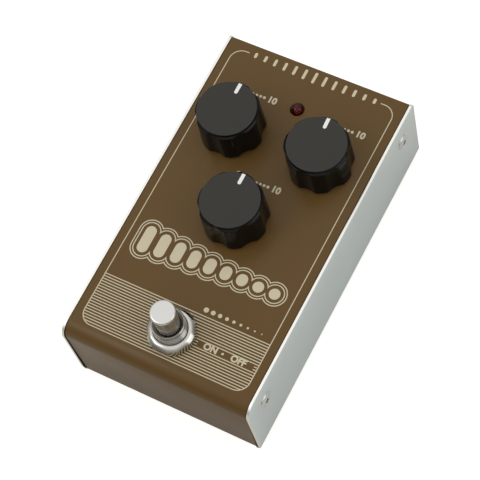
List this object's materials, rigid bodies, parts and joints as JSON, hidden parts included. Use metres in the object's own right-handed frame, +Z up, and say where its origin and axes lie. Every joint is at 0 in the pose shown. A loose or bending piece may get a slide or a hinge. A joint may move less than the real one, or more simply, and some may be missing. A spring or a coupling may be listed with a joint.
{
  "type": "analog delay effect pedal",
  "caption": "Foot-operated analog delay pedal: folded metal box with turning knobs, a push footswitch, an indicator lamp, and jacks and a power socket on its rear.",
  "frame": {"origin": "centre of the footprint on the plane the rubber feet stand on", "axes": "+Z up, +Y towards the rear with the jacks, +X to the player's right"},
  "size_m": [0.0756, 0.1322, 0.0575],
  "materials": {
    "silver_sheet": "smooth bright folded sheet, light handling marks",
    "brown_paint": "fine satin brown powder paint with a cream print",
    "cream_ink": "screen printed cream ink on the cover",
    "bright_steel": "bright nickel plating",
    "satin_steel": "plain plated steel",
    "foot_rubber": "matte black rubber",
    "knob_black": "black moulded plastic, satin flat top and glossy sides",
    "pointer_white": "filled white line",
    "brass_insert": "turned brass",
    "lamp_red": "clear dark red resin",
    "black_plastic": "black moulded plastic",
    "switch_blue": "blue moulded plastic",
    "board_green": "green lacquered board",
    "can_sleeve": "shrunk dark sleeve",
    "film_red": "dipped red film case",
    "resistor_tan": "lacquered tan body",
    "trimmer_blue": "blue moulded case",
    "battery_jacket": "printed steel jacket",
    "pad_foam": "soft foam tape",
    "wire_cover": "soft coloured insulation"
  },
  "bodies": {
    "enclosure": {"base_tray": "silver_sheet", "battery": "battery_jacket", "battery_leads": "wire_cover", "battery_pad": "pad_foam", "battery_snap": "black_plastic", "battery_studs": "satin_steel", "circuit_board": "board_green", "clinch_nuts": "bright_steel", "cover_screws": "bright_steel", "electrolytic_capacitors": "can_sleeve", "film_capacitors": "film_red", "footswitch_bushing": "satin_steel", "footswitch_case": "switch_blue", "footswitch_inner_nut": "bright_steel", "footswitch_nut": "bright_steel", "footswitch_spring": "satin_steel", "footswitch_terminals": "satin_steel", "footswitch_washer": "bright_steel", "indicator_lamp": "lamp_red", "integrated_circuits": "black_plastic", "jack_bushings": "black_plastic", "jack_cases": "black_plastic", "jack_contacts": "satin_steel", "jack_nuts": "bright_steel", "jack_washers": "bright_steel", "lamp_leads": "satin_steel", "lamp_spacer": "black_plastic", "pot_bushings": "satin_steel", "pot_cans": "satin_steel", "pot_nuts": "bright_steel", "pot_terminals": "satin_steel", "pot_washers": "bright_steel", "power_socket": "black_plastic", "power_socket_nut": "black_plastic", "power_socket_pin": "satin_steel", "power_socket_terminals": "satin_steel", "resistors": "resistor_tan", "rubber_feet": "foot_rubber", "switch_wires": "wire_cover", "top_cover": "brown_paint", "trimmer_pots": "trimmer_blue"},
    "left_control": {"left_knob": "knob_black", "left_knob_pointer": "pointer_white", "left_knob_insert": "brass_insert", "left_knob_screw": "bright_steel", "left_pot_shaft": "satin_steel"},
    "right_control": {"right_knob": "knob_black", "right_knob_pointer": "pointer_white", "right_knob_insert": "brass_insert", "right_knob_screw": "bright_steel", "right_pot_shaft": "satin_steel"},
    "centre_control": {"centre_knob": "knob_black", "centre_knob_pointer": "pointer_white", "centre_knob_insert": "brass_insert", "centre_knob_screw": "bright_steel", "centre_pot_shaft": "satin_steel"},
    "footswitch_plunger": {"footswitch_button": "satin_steel"}
  },
  "joints": [
    {"name": "left_knob_turn", "type": "hinge", "parent": "enclosure", "child": "left_control", "pos_m": [-0.01765, 0.0276, 0.0382], "axis": [0, 0, 1], "range_deg": [-150, 150]},
    {"name": "right_knob_turn", "type": "hinge", "parent": "enclosure", "child": "right_control", "pos_m": [0.01765, 0.0276, 0.0382], "axis": [0, 0, 1], "range_deg": [-150, 150]},
    {"name": "centre_knob_turn", "type": "hinge", "parent": "enclosure", "child": "centre_control", "pos_m": [0, -0.0033, 0.0382], "axis": [0, 0, 1], "range_deg": [-150, 150]},
    {"name": "footswitch_press", "type": "slide", "parent": "enclosure", "child": "footswitch_plunger", "axis": [0, 0, -1], "range_m": [0, 0.0025], "stiffness_N_per_m": 4000, "springref_m": -0.0025, "deforming": ["footswitch_spring"]}
  ]
}
